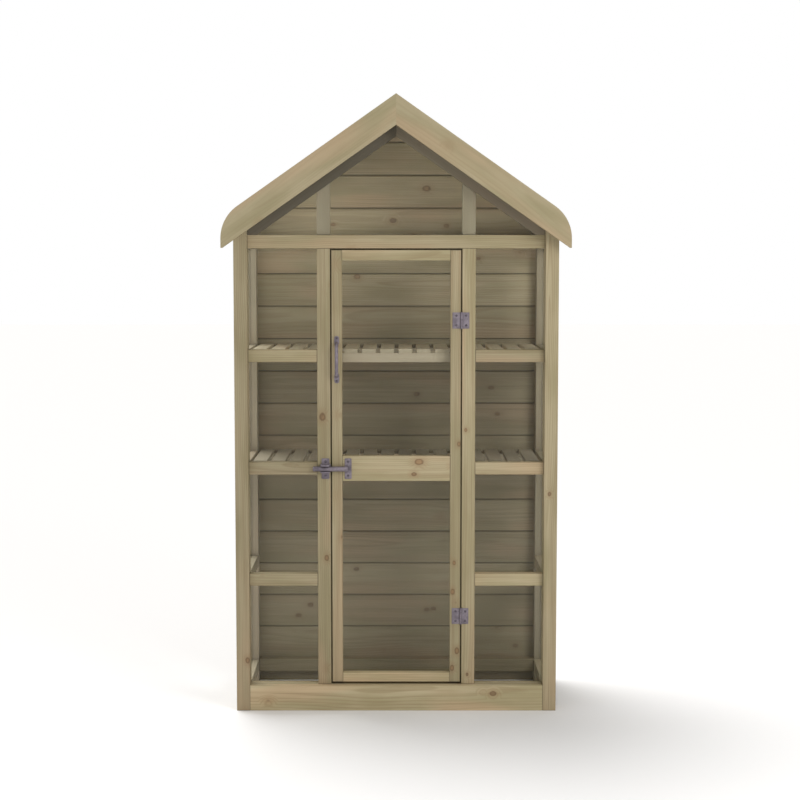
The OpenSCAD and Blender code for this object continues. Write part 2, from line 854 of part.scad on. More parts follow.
module latch_body() {
    color(zinc) difference() {
        union() {
            latch_plate(latch_x, latch_plate_w);
            block([latch_x - latch_w / 2, latch_x + latch_w / 2], [y_frame - latch_t, y_frame],
                  [mid_z - slot - jaw_t, mid_z + catch_z + ear_r]);
            along_x([latch_x - latch_w / 2, latch_x + latch_w / 2]) latch_jaw();
            for (x = [latch_x - latch_w / 2, latch_x + latch_w / 2 - cheek_t])
                along_x([x, x + cheek_t]) latch_ear();
        }
        translate([latch_x - latch_w, catch_y, mid_z + catch_z]) rotate([0, 90, 0])
            cylinder(d = catch_pin_d + 2 * pin_play, h = 2 * latch_w);
        plate_holes(latch_screws);
    }
}

// The pin that the catch turns on, with a head outside each cheek
module latch_pin() {
    head_d = catch_pin_d + 2.4;
    head_h = 0.8;
    color(zinc) translate([latch_x - latch_w / 2, catch_y, mid_z + catch_z]) rotate([0, 90, 0]) {
        cylinder(d = catch_pin_d, h = latch_w);
        translate([0, 0, -head_h]) cylinder(d = head_d, h = head_h);
        translate([0, 0, latch_w]) cylinder(d = head_d, h = head_h);
    }
}

// The catch, drawn raised: an arm over the bar, with a nose that drops in front of it
module latch_catch() {
    arm_z = catch_boss_d / 2 - catch_t;
    color(zinc) difference() {
        along_x([latch_x - catch_w / 2, latch_x + catch_w / 2])
            translate([catch_y, mid_z + catch_z]) {
                circle(d = catch_boss_d);
                translate([-catch_l, arm_z]) square([catch_l, catch_t]);
                translate([-catch_l, -catch_low]) square([catch_t, catch_low + arm_z + past]);
            }
        translate([latch_x - latch_w, catch_y, mid_z + catch_z]) rotate([0, 90, 0])
            cylinder(d = catch_pin_d + 2 * pin_play, h = 2 * latch_w);
    }
}

// The plate on the door's middle rail, and the bar that its saddle holds
module latch_bar() {
    saddle_r = bar_d / 2 + 1.5;
    saddle_w = 10;
    taper = 3;
    x0 = keeper_x - keeper_w / 2;
    color(zinc) difference() {
        union() {
            latch_plate(keeper_x, keeper_w);
            translate([bar_x0, bar_y, mid_z]) rotate([0, 90, 0]) {
                cylinder(d1 = bar_d - taper, d2 = bar_d, h = taper);
                translate([0, 0, taper])
                    cylinder(d = bar_d, h = x0 - bar_x0 - taper + saddle_w / 2);
            }
            along_x([x0, x0 + saddle_w]) {
                translate([bar_y, mid_z]) circle(r = saddle_r);
                translate([bar_y, mid_z - saddle_r])
                    square([y_frame - latch_t - bar_y + past, 2 * saddle_r]);
            }
        }
        plate_holes(keeper_screws);
    }
}

// A round grip that bends back to a flat foot at each end
module pull_handle() {
    y_grip = y_frame - handle_reach;
    y_bend = y_grip + handle_bend;
    y_foot = y_frame - handle_foot_t;
    straight = handle_post_z - handle_bend;
    color(zinc) difference() {
        translate([handle_x, 0, handle_z]) {
            translate([0, y_grip, -straight]) cylinder(d = handle_d, h = 2 * straight);
            for (s = [0, 1]) mirror([0, 0, s]) {
                translate([0, y_bend, straight]) rotate([0, -90, 0]) rotate([0, 0, -90])
                    rotate_extrude(angle = 90) translate([handle_bend, 0]) circle(d = handle_d);
                translate([0, y_bend, handle_post_z]) rotate([-90, 0, 0])
                    cylinder(d = handle_d, h = y_foot - y_bend + handle_foot_t / 2);
                foot(handle_l / 2);
            }
        }
        plate_holes(handle_screws);
    }
}

// An upright foot plate with round ends, whose outer end lies at the given height
module foot(z1) {
    r = handle_foot_w / 2;
    upright([y_frame - handle_foot_t, y_frame]) {
        translate([-r, z1 - handle_foot_h + r]) square([2 * r, handle_foot_h - 2 * r]);
        translate([0, z1 - r]) circle(r = r);
        translate([0, z1 - handle_foot_h + r]) circle(r = r);
    }
}

module frame_screws() { color(zinc) screws(concat(hinge_frame_screws, latch_screws)); }
module door_screws() {
    color(zinc) screws(concat(hinge_leaf_screws, handle_screws, keeper_screws));
}

front_post_left();
front_post_right();
rear_post_left();
rear_post_right();
inner_post_left();
inner_post_right();
plinth_board();
front_sill();
front_eaves_rail();
bay_rail_left_upper();
bay_rail_left_middle();
bay_rail_left_lower();
bay_rail_right_upper();
bay_rail_right_middle();
bay_rail_right_lower();
gable_rail_left();
gable_rail_right();
gable_mullion_left();
gable_mullion_right();
rear_gable_rail_left();
rear_gable_rail_right();
rear_eaves_rail();
rear_sill();
side_rails_left();
side_rails_right();
back_boards();
upper_shelf_slats();
lower_shelf_slats();
upper_shelf_bearers();
lower_shelf_bearers();
roof_boards_left();
roof_boards_right();
roof_felt();
bargeboard_left();
bargeboard_right();
verge_battens();
bay_pane_left();
bay_pane_right();
gable_pane();
side_panes_left();
side_panes_right();
door_stops();
hinge_frame_leaves();
hinge_pins();
latch_body();
latch_pin();
frame_screws();
door_stile_left();
door_stile_right();
door_top_rail();
door_middle_rail();
door_bottom_rail();
door_pane_upper();
door_pane_lower();
door_beads();
hinge_door_leaves();
pull_handle();
latch_bar();
door_screws();
latch_catch();
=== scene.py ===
"""Looks of a narrow wooden greenhouse that stands against a wall.

The solids come packed from the CAD. This script gives them their materials, adds two thin
laths and the small fasteners, and sets up the floor, the light and the camera. Everything is in
metres, with X to the right, Y to the back and Z up.
"""

import math

import bmesh
import bpy
from mathutils import Matrix, Quaternion, Vector


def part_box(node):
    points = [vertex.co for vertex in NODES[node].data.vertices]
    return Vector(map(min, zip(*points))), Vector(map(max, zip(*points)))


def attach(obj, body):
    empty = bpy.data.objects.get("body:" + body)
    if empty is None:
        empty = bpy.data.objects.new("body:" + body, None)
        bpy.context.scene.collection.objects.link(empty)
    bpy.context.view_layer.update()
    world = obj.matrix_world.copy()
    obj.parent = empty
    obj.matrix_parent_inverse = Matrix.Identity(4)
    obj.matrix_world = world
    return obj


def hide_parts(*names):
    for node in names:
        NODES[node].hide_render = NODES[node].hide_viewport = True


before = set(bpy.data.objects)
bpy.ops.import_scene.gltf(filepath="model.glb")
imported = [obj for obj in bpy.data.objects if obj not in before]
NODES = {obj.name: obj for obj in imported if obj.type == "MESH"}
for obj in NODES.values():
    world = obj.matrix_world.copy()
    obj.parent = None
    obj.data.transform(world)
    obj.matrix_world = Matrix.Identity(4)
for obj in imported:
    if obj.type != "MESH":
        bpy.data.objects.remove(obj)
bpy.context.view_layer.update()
scene = bpy.context.scene

# Measures of the solids
ROOF_PITCH = math.radians(35)
BOARD_PITCH = 0.1073
BOARD_COUNT = 18
LOWEST_JOINT = 0.077
SLAT_PITCH = 0.057
SLAT_WIDTH = 0.043
ROOF_BOARD_STEP = 0.0843


def srgb(r, g, b):
    """A colour given as 0-255 display values, in the linear values that shaders take."""
    def linear(v):
        v /= 255
        return v / 12.92 if v <= 0.04045 else ((v + 0.055) / 1.055) ** 2.4
    return (linear(r), linear(g), linear(b), 1.0)


class Graph:
    """Builds one node material, with a short call for each kind of node."""

    def __init__(self, name):
        self.material = bpy.data.materials.new(name)
        self.material.use_nodes = True
        self.tree = self.material.node_tree
        self.tree.nodes.clear()
        self.output = self.tree.nodes.new("ShaderNodeOutputMaterial")

    def put(self, socket, value):
        if isinstance(value, bpy.types.NodeSocket):
            self.tree.links.new(value, socket)
        elif value is not None:
            socket.default_value = value

    def node(self, kind, inputs=None, **settings):
        n = self.tree.nodes.new("ShaderNode" + kind)
        for key, value in settings.items():
            setattr(n, key, value)
        for key, value in (inputs or {}).items():
            self.put(n.inputs[key], value)
        return n

    def math(self, operation, a, b=None, c=None, clamp=False):
        n = self.node("Math", operation=operation, use_clamp=clamp)
        for socket, value in zip(n.inputs, (a, b, c)):
            self.put(socket, value)
        return n.outputs[0]

    def vector(self, operation, a, b=None):
        n = self.node("VectorMath", operation=operation)
        self.put(n.inputs[0], a)
        if operation == "SCALE":
            self.put(n.inputs["Scale"], b)
        else:
            self.put(n.inputs[1], b)
        return n.outputs["Value" if operation in ("LENGTH", "DOT_PRODUCT") else "Vector"]

    def split(self, vector):
        return self.node("SeparateXYZ", {0: vector}).outputs

    def join(self, x, y, z):
        return self.node("CombineXYZ", {0: x, 1: y, 2: z}).outputs[0]

    def noise(self, vector, scale=1.0, detail=2.0, roughness=0.5, colour=False):
        n = self.node("TexNoise", {"Vector": vector, "Scale": scale, "Detail": detail,
                                   "Roughness": roughness})
        return n.outputs["Color" if colour else "Fac"]

    def span(self, value, low, high, to_low=0.0, to_high=1.0, smooth=False):
        n = self.node("MapRange", {0: value, 1: low, 2: high, 3: to_low, 4: to_high},
                      interpolation_type="SMOOTHSTEP" if smooth else "LINEAR")
        return n.outputs[0]

    def mix(self, factor, a, b, blend="MIX"):
        n = self.node("Mix", data_type="RGBA", blend_type=blend)
        self.put(n.inputs["Factor"], factor)
        self.put(n.inputs[6], a)
        self.put(n.inputs[7], b)
        return n.outputs[2]

    def curve(self, value, points):
        """A colour ramp used as a curve: pairs of place and height."""
        n = self.node("ValToRGB", {0: value})
        ramp = n.color_ramp
        while len(ramp.elements) < len(points):
            ramp.elements.new(0.5)
        for element, (place, height) in zip(ramp.elements, points):
            element.position = place
            element.color = (height, height, height, 1)
        return n.outputs[0]

    def bump(self, height, strength, distance):
        return self.node("Bump", {"Height": height, "Strength": strength,
                                  "Distance": distance}).outputs[0]

    def principled(self, **inputs):
        names = {key.replace("_", " ").title(): value for key, value in inputs.items()}
        names = {key.replace("Ior", "IOR"): value for key, value in names.items()}
        shader = self.node("BsdfPrincipled", names)
        self.tree.links.new(shader.outputs[0], self.output.inputs[0])
        return self.material


# Timber

PALE = srgb(176, 164, 133)
GREEN = srgb(160, 150, 117)
PINK = srgb(182, 160, 129)
LATEWOOD = srgb(133, 113, 82)
KNOT = srgb(92, 66, 45)
KNOT_HALO = srgb(142, 108, 74)
SILVER = srgb(176, 168, 156)

# Growth rings: their spacing, and the least and the boldest contrast
RING_STEP = 0.0054
RING_FAINT = 0.16
RING_BOLD = 0.46

# Noise scales, first along the grain and then across it
DRIFT = (1.1, 5.0)
FIBRE = (14.0, 900.0)
THREAD = (3.5, 260.0)
STREAK = (1.6, 70.0)
PATCH = (3.0, 14.0)
BLUSH = (2.3, 11.0)
BAND = (0.9, 9.0)

# How far each mark takes the colour along with it
BLUSH_SHARE = 0.8
STREAK_SHARE = 0.45
THREAD_SHARE = 0.35
HALO_SHARE = 0.30
KNOT_SHARE = 0.6
RIM_SHARE = 0.5

# Knots: the least size, the range above it, the spacing, and the squeeze along the grain
KNOT_LEAST = 0.022
KNOT_RANGE = 0.055
KNOTS_ALONG = 7.0
KNOTS_ACROSS = 10.0
KNOT_SQUEEZE = 0.72

# Differences in shade between pieces, and on end grain, cut ends, seams and fibres
LEVEL_SPREAD = 0.12
END_GRAIN_DARK = 0.34
JOINT_LINE = 0.0012
JOINT_DARK = 0.5
SEAM_LEVEL = 0.45
FIBRE_CONTRAST = 0.14

GRAIN_TURN = {
    "x": (0, 0, 0),
    "y": (0, 0, -math.pi / 2),
    "z": (0, math.pi / 2, 0),
    "rise": (0, ROOF_PITCH, 0),
    "fall": (0, -ROOF_PITCH, 0),
}


def piece_coords(g, lows, highs, pitch):
    """Coordinates from the middle of each piece of a node, and a number for each piece.

    pitch gives the spacing of the pieces along X, Y and Z, or 0 where they don't repeat.
    """
    axes = g.split(g.node("TexCoord").outputs["Object"])
    local, numbers = [], []
    for axis, low, high, step in zip(axes, lows, highs, pitch):
        if step:
            cell = g.math("FLOOR", g.math("DIVIDE", g.math("SUBTRACT", axis, low), step))
            middle = g.math("MULTIPLY_ADD", cell, step, low + step / 2)
            local.append(g.math("SUBTRACT", axis, middle))
            numbers.append(cell)
        else:
            local.append(g.math("SUBTRACT", axis, (low + high) / 2))
            numbers.append(0.0)
    return g.join(*local), g.join(*numbers)


def timber(name, grain, box, seed, pitch=(0, 0, 0), shade=1.0, grey=0.0, figure=1.0,
           fade=None, seam=0.0, knots=()):
    """Planed, pressure-treated pine whose rings run round a pith line along the grain.

    shade is how light the piece is, which on some pieces is painted light or shade, grey how far
    its colour goes towards silver, and figure how strongly the rings and streaks show.
    fade gives two heights and the level at each, for painted light and shade
    that change up the piece; seam is half the width of the dark line where boards meet, and knots
    the place and radius of extra ones.
    """
    g = Graph(name)
    lows, highs = box
    local, number = piece_coords(g, lows, highs, pitch)
    grained = g.node("Mapping", {"Vector": local, "Rotation": GRAIN_TURN[grain]}).outputs[0]
    random = g.node("TexWhiteNoise", {"Vector": g.vector("ADD", number, (seed, seed * 1.7, 0.5))},
                    noise_dimensions="3D").outputs["Color"]
    r1, r2, r3 = g.split(random)
    u, v, w = g.split(grained)
    u = g.math("MULTIPLY_ADD", r1, 17.0, u)

    def stretched(along, across, shift=0.0):
        return g.join(g.math("MULTIPLY_ADD", u, along, shift), g.math("MULTIPLY", v, across),
                      g.math("MULTIPLY", w, across))

    # Knots: egg-shaped spots of many sizes that push the rings aside
    knot_place = g.join(g.math("MULTIPLY", u, KNOTS_ALONG),
                        g.math("MULTIPLY_ADD", v, KNOTS_ACROSS, r2),
                        g.math("MULTIPLY_ADD", w, KNOTS_ACROSS, r3))
    wobble = g.math("MULTIPLY_ADD", g.noise(g.vector("SCALE", grained, 90.0)), 0.5, -0.25)
    cell = g.node("TexVoronoi", {"Vector": knot_place, "Scale": 1.0})
    size = g.math("MULTIPLY_ADD", g.split(cell.outputs["Color"])[0], KNOT_RANGE, KNOT_LEAST)
    knot_distance = g.math("DIVIDE", cell.outputs["Distance"], size)
    along = "xyz".find(grain) if grain in "xyz" else 0
    for x, y, z, radius in knots:
        away = g.vector("SUBTRACT", g.node("TexCoord").outputs["Object"], (x, y, z))
        squeeze = [1 / radius] * 3
        squeeze[along] *= KNOT_SQUEEZE
        away = g.vector("LENGTH", g.vector("MULTIPLY", away, tuple(squeeze)))
        knot_distance = g.math("MINIMUM", knot_distance, away)
    knot_distance = g.math("ADD", knot_distance, wobble)
    knot = g.span(knot_distance, 1.15, 0.75, smooth=True)
    knot_rim = g.math("MULTIPLY", g.span(knot_distance, 1.35, 1.0, smooth=True),
                      g.span(knot_distance, 0.45, 0.95, smooth=True))
    halo = g.span(knot_distance, 3.6, 0.8, smooth=True)
    knot_age = g.split(cell.outputs["Color"])[1]

    # Growth rings round a pith line that lies beside the piece
    drift = g.split(g.noise(stretched(*DRIFT), colour=True))
    pith_v = g.math("MULTIPLY_ADD", r2, 0.16, -0.08)
    pith_w = g.math("MULTIPLY_ADD", r3, 0.10, 0.03)
    ring_v = g.math("SUBTRACT", g.math("MULTIPLY_ADD", drift[0], 0.05, v), pith_v)
    ring_w = g.math("SUBTRACT", g.math("MULTIPLY_ADD", drift[1], 0.05, w), pith_w)
    radius = g.vector("LENGTH", g.join(ring_v, ring_w, 0.0))
    radius = g.math("MULTIPLY_ADD", halo, 0.012, radius)
    phase = g.math("FRACT", g.math("DIVIDE", radius, RING_STEP))
    ring = g.curve(phase, [(0.0, 0.05), (0.45, 0.12), (0.78, 0.9), (0.90, 1.0), (0.97, 0.1)])

    # Fibres, streaks and blotches along the grain
    fibre = g.noise(stretched(*FIBRE), detail=3.0, roughness=0.6)
    thread = g.noise(stretched(*THREAD, shift=3.0), detail=2.0, roughness=0.6)
    streak = g.noise(stretched(*STREAK), detail=3.0, roughness=0.55)
    patch = g.noise(stretched(*PATCH), detail=3.0)
    blush = g.noise(stretched(*BLUSH, shift=7.0), detail=2.0)
    bold = g.span(g.noise(stretched(*BAND, shift=5.0)), 0.35, 0.65,
                  RING_FAINT * figure, RING_BOLD * figure)

    colour = g.mix(g.span(patch, 0.40, 0.62, smooth=True), PALE, GREEN)
    blushed = g.math("MULTIPLY", g.span(blush, 0.48, 0.68, smooth=True), BLUSH_SHARE)
    colour = g.mix(blushed, colour, PINK)
    colour = g.mix(g.math("MULTIPLY", ring, bold), colour, LATEWOOD)
    streaked = g.math("MULTIPLY", g.span(streak, 0.45, 0.75), STREAK_SHARE * figure)
    colour = g.mix(streaked, colour, LATEWOOD)
    threaded = g.math("MULTIPLY", g.span(thread, 0.50, 0.75), THREAD_SHARE * figure)
    colour = g.mix(threaded, colour, LATEWOOD)
    colour = g.mix(g.math("MULTIPLY", halo, HALO_SHARE), colour, KNOT_HALO)
    inside = g.mix(g.span(knot_age, 0.3, 0.9), KNOT_HALO, KNOT)
    colour = g.mix(g.math("MULTIPLY", knot, KNOT_SHARE), colour, inside)
    colour = g.mix(g.math("MULTIPLY", knot_rim, RIM_SHARE), colour, KNOT)
    if grey:
        colour = g.mix(grey, colour, SILVER)

    # Each piece is a little lighter or darker at random and by its shade, which on some pieces is
    # painted light or shade; its end grain and cut ends are darker
    draw = g.node("TexWhiteNoise", {"Vector": random}).outputs["Value"]
    level = g.math("MULTIPLY_ADD", draw, LEVEL_SPREAD, shade - LEVEL_SPREAD / 2)
    # Painted light and shade: the level changes between two heights up the piece
    if fade:
        low, high, at_low, at_high = fade
        height = g.split(g.node("TexCoord").outputs["Object"])[2]
        level = g.math("MULTIPLY", level, g.span(height, low, high, at_low, at_high))
    normal = g.node("Mapping", {"Vector": g.node("TexCoord").outputs["Normal"],
                                "Rotation": GRAIN_TURN[grain]}).outputs[0]
    end_grain = g.span(g.math("ABSOLUTE", g.split(normal)[0]), 0.75, 0.95)
    level = g.math("MULTIPLY", level, g.math("MULTIPLY_ADD", end_grain, -END_GRAIN_DARK, 1.0))
    length = max(high - low for low, high in zip(lows, highs))
    if grain in "xyz" and not any(pitch):
        from_middle = g.math("ABSOLUTE", g.split(grained)[0])
        joint = g.span(from_middle, length / 2 - JOINT_LINE * 1.6, length / 2 - JOINT_LINE)
        level = g.math("MULTIPLY", level, g.math("MULTIPLY_ADD", joint, -JOINT_DARK, 1.0))
    if seam:
        from_seam = g.math("SUBTRACT", max(pitch) / 2, g.math("ABSOLUTE", g.split(local)[2]))
        level = g.math("MULTIPLY", level, g.span(from_seam, seam, seam * 1.7, SEAM_LEVEL, 1.0))
    level = g.math("MULTIPLY", level, g.math("MULTIPLY_ADD", fibre, FIBRE_CONTRAST, 0.93))
    colour = g.vector("SCALE", colour, level)

    height = g.math("ADD", g.math("MULTIPLY", ring, 0.5),
                    g.math("ADD", fibre, g.math("MULTIPLY", knot_rim, -1.5)))
    roughness = g.math("MULTIPLY_ADD", fibre, 0.18, 0.61)
    return g.principled(base_color=colour, roughness=roughness,
                        specular_ior_level=0.35, normal=g.bump(height, 0.5, 0.0004))


# Glass, metal and felt

PANE_TINT = (0.985, 0.99, 0.982, 1)
PANE_MIRROR = 0.008
ZINC = srgb(122, 114, 122)
ZINC_BRIGHT = srgb(140, 131, 139)
ZINC_DARK = srgb(98, 91, 99)
FELT = srgb(58, 66, 58)
FELT_GRAIN = srgb(96, 104, 92)
FELT_PALE = srgb(138, 142, 130)
FELT_WORN = srgb(84, 88, 80)


def glass():
    """A clear pane that mirrors more at a slant, by the same amount from both faces."""
    g = Graph("pane_glass")
    clear = g.node("BsdfTransparent", {"Color": PANE_TINT}).outputs[0]
    gloss = g.node("BsdfGlossy", {"Color": (1, 1, 1, 1), "Roughness": 0.04}).outputs[0]
    slant = g.node("LayerWeight", {"Blend": 0.5}).outputs["Facing"]
    mirror = g.math("MULTIPLY_ADD", g.math("POWER", slant, 5.0), 1 - PANE_MIRROR, PANE_MIRROR)
    shadow = g.node("LightPath").outputs["Is Shadow Ray"]
    share = g.math("MULTIPLY", mirror, g.math("SUBTRACT", 1.0, shadow))
    mixed = g.node("MixShader", {0: share, 1: clear, 2: gloss}).outputs[0]
    g.tree.links.new(mixed, g.output.inputs[0])
    return g.material


def zinc(name, seed, tone=1.0):
    """Galvanised steel with a dull spangle and darker patches. A tone below 1 darkens it."""
    g = Graph(name)
    place = g.vector("ADD", g.node("TexCoord").outputs["Object"], (seed, 0, seed))
    spangle = g.node("TexVoronoi", {"Vector": place, "Scale": 260.0}).outputs["Color"]
    spangle = g.split(spangle)[0]
    cloud = g.noise(place, 60.0, 3.0)
    colour = g.mix(spangle, ZINC, ZINC_BRIGHT)
    colour = g.mix(g.span(cloud, 0.40, 0.72), colour, ZINC_DARK)
    colour = g.vector("SCALE", colour, tone)
    roughness = g.math("MULTIPLY_ADD", spangle, 0.14, 0.42)
    height = g.math("ADD", g.math("MULTIPLY", cloud, 0.6), g.math("MULTIPLY", spangle, 0.2))
    return g.principled(base_color=colour, roughness=roughness, metallic=0.55,
                        normal=g.bump(height, 0.25, 0.0003))


def felt():
    """Mineral-faced roofing felt: grains of several greens and greys."""
    g = Graph("roofing_felt")
    place = g.node("TexCoord").outputs["Object"]
    grain = g.node("TexVoronoi", {"Vector": place, "Scale": 700.0})
    tint = g.split(grain.outputs["Color"])
    colour = g.mix(tint[0], FELT, FELT_GRAIN)
    colour = g.mix(g.span(tint[1], 0.82, 0.95), colour, FELT_PALE)
    worn = g.noise(place, 7.0, 4.0)
    colour = g.mix(g.math("MULTIPLY", g.span(worn, 0.45, 0.70), 0.5), colour, FELT_WORN)
    height = g.math("SUBTRACT", 1.0, grain.outputs["Distance"])
    return g.principled(base_color=colour, roughness=0.93,
                        normal=g.bump(height, 0.6, 0.0008))


def dress(node, material):
    """Gives a CAD node one material, in place of whatever its slots hold."""
    slots = NODES[node].data.materials
    if len(slots) == 0:
        slots.append(material)
    for i in range(len(slots)):
        slots[i] = material


# How light each piece of timber is beside the rest, where it isn't 1. Besides each piece's own
# tone, these levels hold painted light and shade: painted light lifts the plinth, the door's
# bottom rail, the upper shelf slats and the left rear post, and painted shade darkens the gable
# mullions under the eaves, the left rear gable rail and the rear sill.
LEVEL_AND_PAINTED_LIGHT = {
    "front_post_left": 0.88, "inner_post_left": 0.90, "door_stile_left": 0.93,
    "door_stile_right": 0.90, "front_post_right": 1.03, "inner_post_right": 1.09,
    "door_middle_rail": 1.10, "door_top_rail": 1.12, "door_bottom_rail": 1.36,
    "plinth_board": 1.30, "bay_rail_left_upper": 1.05, "bay_rail_left_middle": 0.84,
    "bay_rail_left_lower": 0.92, "bay_rail_right_upper": 0.87, "bay_rail_right_middle": 1.12,
    "bay_rail_right_lower": 1.18, "bargeboard_left": 0.95, "bargeboard_right": 0.89,
    "rear_gable_rail_left": 0.68, "rear_gable_rail_right": 1.08,
    "rear_post_left": 1.32, "rear_post_right": 0.90, "upper_shelf_bearers": 1.04,
    "upper_shelf_slats": 1.52, "lower_shelf_slats": 0.90, "rear_sill": 0.64,
    "gable_mullion_left": 0.82, "gable_mullion_right": 0.82,
}
# How far the colour of each goes towards silver grey, where it isn't 0
GREY = {
    "rear_post_left": 0.45, "rear_post_right": 0.3, "upper_shelf_bearers": 0.4,
    "lower_shelf_bearers": 0.4, "upper_shelf_slats": 0.35, "lower_shelf_slats": 0.5,
    "side_rails_left": 0.35, "side_rails_right": 0.2,
    "back_boards": 0.15, "gable_mullion_left": 0.3, "gable_mullion_right": 0.3,
}

# The knots that stand out: place and radius
KNOTS = {
    "door_middle_rail": [(0.071, -0.155, 0.783, 0.0085), (0.055, -0.155, 0.745, 0.0055)],
    "inner_post_left": [(-0.229, -0.155, 0.924, 0.0080), (-0.217, -0.155, 0.481, 0.0060)],
    "inner_post_right": [(0.216, -0.155, 0.883, 0.0040)],
    "door_stile_right": [(0.176, -0.155, 0.374, 0.0060), (0.175, -0.155, 0.131, 0.0060),
                         (0.181, -0.155, 0.465, 0.0045), (0.195, -0.155, 0.839, 0.0050)],
    "front_post_left": [(-0.465, -0.175, 0.160, 0.0060)],
    "front_post_right": [(0.476, -0.175, 0.685, 0.0045)],
    "plinth_board": [(0.303, -0.175, 0.054, 0.0070)],
    "back_boards": [(0.099, 0.211, 1.643, 0.0085), (0.165, 0.211, 1.521, 0.0055),
                    (-0.208, 0.211, 1.525, 0.0050), (0.068, 0.211, 0.965, 0.0060),
                    (0.314, 0.211, 0.986, 0.0055), (-0.134, 0.211, 0.377, 0.0060),
                    (0.101, 0.211, 0.239, 0.0060), (-0.329, 0.211, 0.220, 0.0060),
                    (0.303, 0.211, 0.072, 0.0060), (0.399, 0.211, 0.116, 0.0060)],
}


def dress_timber(names, grain, lowest=None, **settings):
    """Dresses nodes whose grain runs the same way.

    lowest replaces the box's lowest height, where the first piece isn't a whole one.
    """
    for name in names:
        low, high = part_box(name)
        if lowest is not None:
            low = (low[0], low[1], lowest)
        seed = 1.0 + 3.1 * sorted(NODES).index(name)
        dress(name, timber("pine_" + name, grain, (low, high), seed,
                           shade=LEVEL_AND_PAINTED_LIGHT.get(name, 1.0), grey=GREY.get(name, 0.0),
                           knots=KNOTS.get(name, ()), **settings))


dress_timber(["front_post_left", "front_post_right", "inner_post_left", "inner_post_right",
              "gable_mullion_left", "gable_mullion_right", "door_stile_left",
              "door_stile_right"], "z")
# Painted shade: the rear posts go darker towards their feet
dress_timber(["rear_post_left", "rear_post_right"], "z", fade=(0.7, 1.2, 0.76, 1.0))
# Painted light and shade: the rear sill's top face is painted lighter than its front, and its dark
# level from the table above is painted shade
dress_timber(["rear_sill"], "x", fade=(0.078, 0.0798, 1.0, 1.15))
dress_timber(["plinth_board", "front_sill", "front_eaves_rail", "rear_eaves_rail",
              "bay_rail_left_upper", "bay_rail_left_middle", "bay_rail_left_lower",
              "bay_rail_right_upper", "bay_rail_right_middle", "bay_rail_right_lower",
              "door_top_rail", "door_middle_rail", "door_bottom_rail"], "x")
dress_timber(["gable_rail_left", "rear_gable_rail_left"], "rise")
dress_timber(["gable_rail_right", "rear_gable_rail_right", "verge_battens"], "fall")
dress_timber(["bargeboard_left"], "rise", figure=0.4)
dress_timber(["bargeboard_right"], "fall", figure=0.4)
dress_timber(["side_rails_left", "side_rails_right"], "y", pitch=(0, 0, 0.35))
dress_timber(["upper_shelf_slats", "lower_shelf_slats"], "y", pitch=(SLAT_PITCH, 0, 0))
dress_timber(["upper_shelf_bearers", "lower_shelf_bearers"], "x", pitch=(0, 0.2, 0))
# Painted light and shade: the back boards go from darker low down, where the shelves shade them,
# to lighter up in the gable
dress_timber(["back_boards"], "x", lowest=LOWEST_JOINT - BOARD_PITCH, pitch=(0, 0, BOARD_PITCH),
             fade=(1.05, 1.55, 0.72, 1.50), seam=0.0013)
dress_timber(["door_stops", "door_beads"], "z", pitch=(0.3, 0, 0))
dress_timber(["roof_boards_left", "roof_boards_right"], "y", pitch=(ROOF_BOARD_STEP, 0, 0))

PANE = glass()
for name in ("bay_pane_left", "bay_pane_right", "gable_pane", "side_panes_left",
             "side_panes_right", "door_pane_upper", "door_pane_lower"):
    dress(name, PANE)

for number, name in enumerate(("hinge_frame_leaves", "hinge_door_leaves", "hinge_pins",
                               "latch_body", "latch_pin", "latch_catch", "latch_bar",
                               "pull_handle")):
    dress(name, zinc("zinc_" + name, 0.37 * number))
dress("roof_felt", felt())


# Laths over the edge of the gable pane

LATH_WIDTH = 0.0288
LATH_ARRIS = 0.0006
LATH_GREY = 0.35
FIT = 0.0003


def gable_lath(name, side, grain, seed, shade):
    """A thin sloped lath under the front gable rail, in front of the pane and the mullion."""
    rail_low, rail_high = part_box("gable_rail_right")
    slope = math.tan(ROOF_PITCH)
    x_end = rail_high[0]
    top = rail_low[2] + slope * x_end - FIT
    low = top - LATH_WIDTH / math.cos(ROOF_PITCH)
    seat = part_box("front_eaves_rail")[1][2] + FIT
    front, back = rail_low[1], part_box("gable_pane")[0][1] - FIT
    outline = [(0, low), ((low - seat) / slope, seat), (x_end, seat),
               (x_end, top - slope * x_end), (0, top)]
    bm = bmesh.new()
    face = bm.faces.new([bm.verts.new((side * x, front, z)) for x, z in outline])
    grown = bmesh.ops.extrude_face_region(bm, geom=[face])["geom"]
    moved = [part for part in grown if isinstance(part, bmesh.types.BMVert)]
    bmesh.ops.translate(bm, verts=moved, vec=(0, back - front, 0))
    bmesh.ops.recalc_face_normals(bm, faces=bm.faces)
    bmesh.ops.bevel(bm, geom=bm.edges, offset=LATH_ARRIS, segments=2, affect="EDGES")
    mesh = bpy.data.meshes.new(name)
    bm.to_mesh(mesh)
    bm.free()
    xs = sorted((0, side * x_end))
    box = ((xs[0], front, seat), (xs[1], back, top))
    mesh.materials.append(timber("pine_" + name, grain, box, seed, shade=shade, grey=LATH_GREY))
    piece = bpy.data.objects.new(name, mesh)
    scene.collection.objects.link(piece)
    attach(piece, "greenhouse")


# Painted shade: both laths are darkened for the shade under the bargeboards, the left one more
gable_lath("gable_lath_left", -1, "rise", 211.3, 0.26)
gable_lath("gable_lath_right", 1, "fall", 223.9, 0.52)


# Screws and nails

